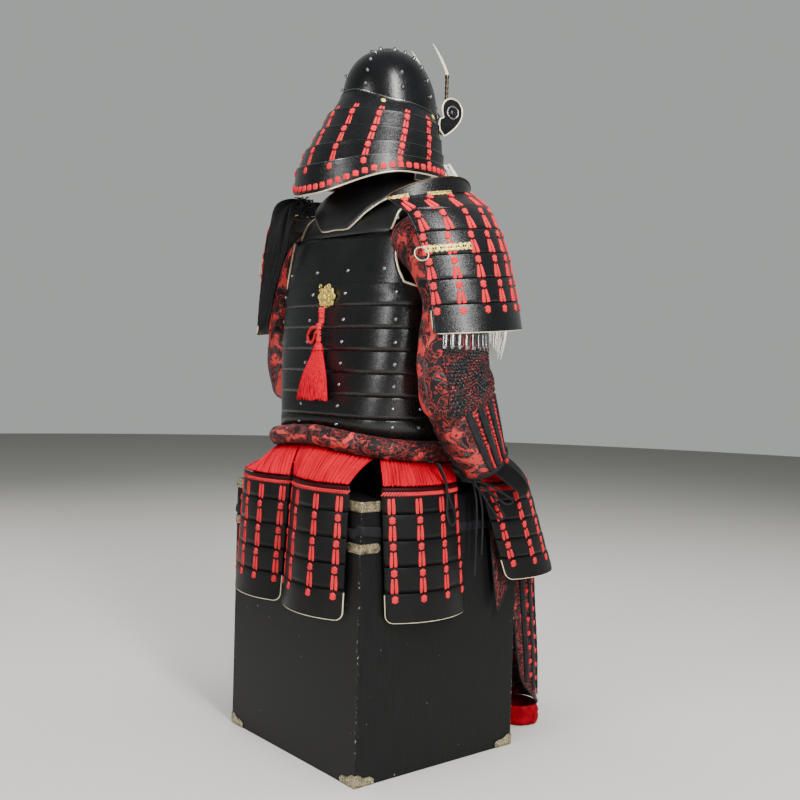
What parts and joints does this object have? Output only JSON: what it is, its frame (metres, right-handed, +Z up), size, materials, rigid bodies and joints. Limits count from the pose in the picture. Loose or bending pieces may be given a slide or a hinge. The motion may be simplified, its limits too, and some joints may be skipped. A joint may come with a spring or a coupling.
{
  "type": "samurai armour on a storage chest",
  "caption": "Full black lamed samurai armour with coral lacing, seated on its lacquered storage chest over a plain inner stand.",
  "frame": {"origin": "middle of the chest's underside", "axes": "+Z up; the armour faces -Y, and its right hand is at -X"},
  "size_m": [0.7116, 0.6432, 1.4606],
  "materials": {
    "chest lacquer": "satin black lacquer",
    "black cloth": "matte",
    "stand wood": "oiled",
    "black lacquer": "fine-grained satin lacquer",
    "brocade": "woven",
    "coral cloth": "satin",
    "gilt metal": "gilt",
    "dark bronze": "aged",
    "ivory horn": "polished",
    "white hair": "loose hair"
  },
  "bodies": {
    "root": {"chest_body": "chest lacquer", "chest_lid": "chest lacquer", "chest_strap": "black cloth", "shoulder_ribbon_left": "black cloth", "waist_tie_loop": "black cloth", "waist_tie_bow": "black cloth", "stand_frame": "stand wood", "stand_head": "stand wood", "cuirass_back": "black lacquer", "cuirass_front": "black lacquer", "shoulder_yoke": "black lacquer", "collar_plate": "black lacquer", "helmet_bowl": "black lacquer", "helmet_brim": "black lacquer", "helmet_wing_right": "black lacquer", "helmet_wing_left": "black lacquer", "face_mask": "black lacquer", "throat_guard": "black lacquer", "neck_guard_lame_1": "black lacquer", "neck_guard_lame_2": "black lacquer", "neck_guard_lame_3": "black lacquer", "neck_guard_lame_4": "black lacquer", "neck_guard_lame_5": "black lacquer", "shoulder_guard_right": "black lacquer", "shoulder_guard_left": "black lacquer", "shoulder_crown_right": "black lacquer", "shoulder_crown_left": "black lacquer", "hand_guard_right": "black lacquer", "hand_guard_left": "black lacquer", "skirt_panel_back_left": "black lacquer", "skirt_panel_back_right": "black lacquer", "skirt_panel_side_right": "black lacquer", "skirt_panel_side_left": "black lacquer", "skirt_panel_front_right": "black lacquer", "skirt_panel_front_left": "black lacquer", "skirt_panel_front_middle": "black lacquer", "waist_roll": "brocade", "sleeve_right": "brocade", "sleeve_left": "brocade", "thigh_guard_right": "brocade", "thigh_guard_left": "brocade", "shin_guard_right": "brocade", "shin_guard_left": "brocade", "skirt_pleats_back_left": "coral cloth", "skirt_pleats_back_right": "coral cloth", "skirt_pleats_side_right": "coral cloth", "skirt_pleats_side_left": "coral cloth", "skirt_pleats_front_right": "coral cloth", "skirt_pleats_front_left": "coral cloth", "skirt_pleats_front_middle": "coral cloth", "ankle_cloth_right": "coral cloth", "ankle_cloth_left": "coral cloth", "tassel": "coral cloth", "tassel_cord": "coral cloth", "tassel_boss": "gilt metal", "crest_socket": "dark bronze", "crest_horn_right": "ivory horn", "crest_horn_left": "ivory horn", "beard": "white hair"}
  },
  "joints": []
}
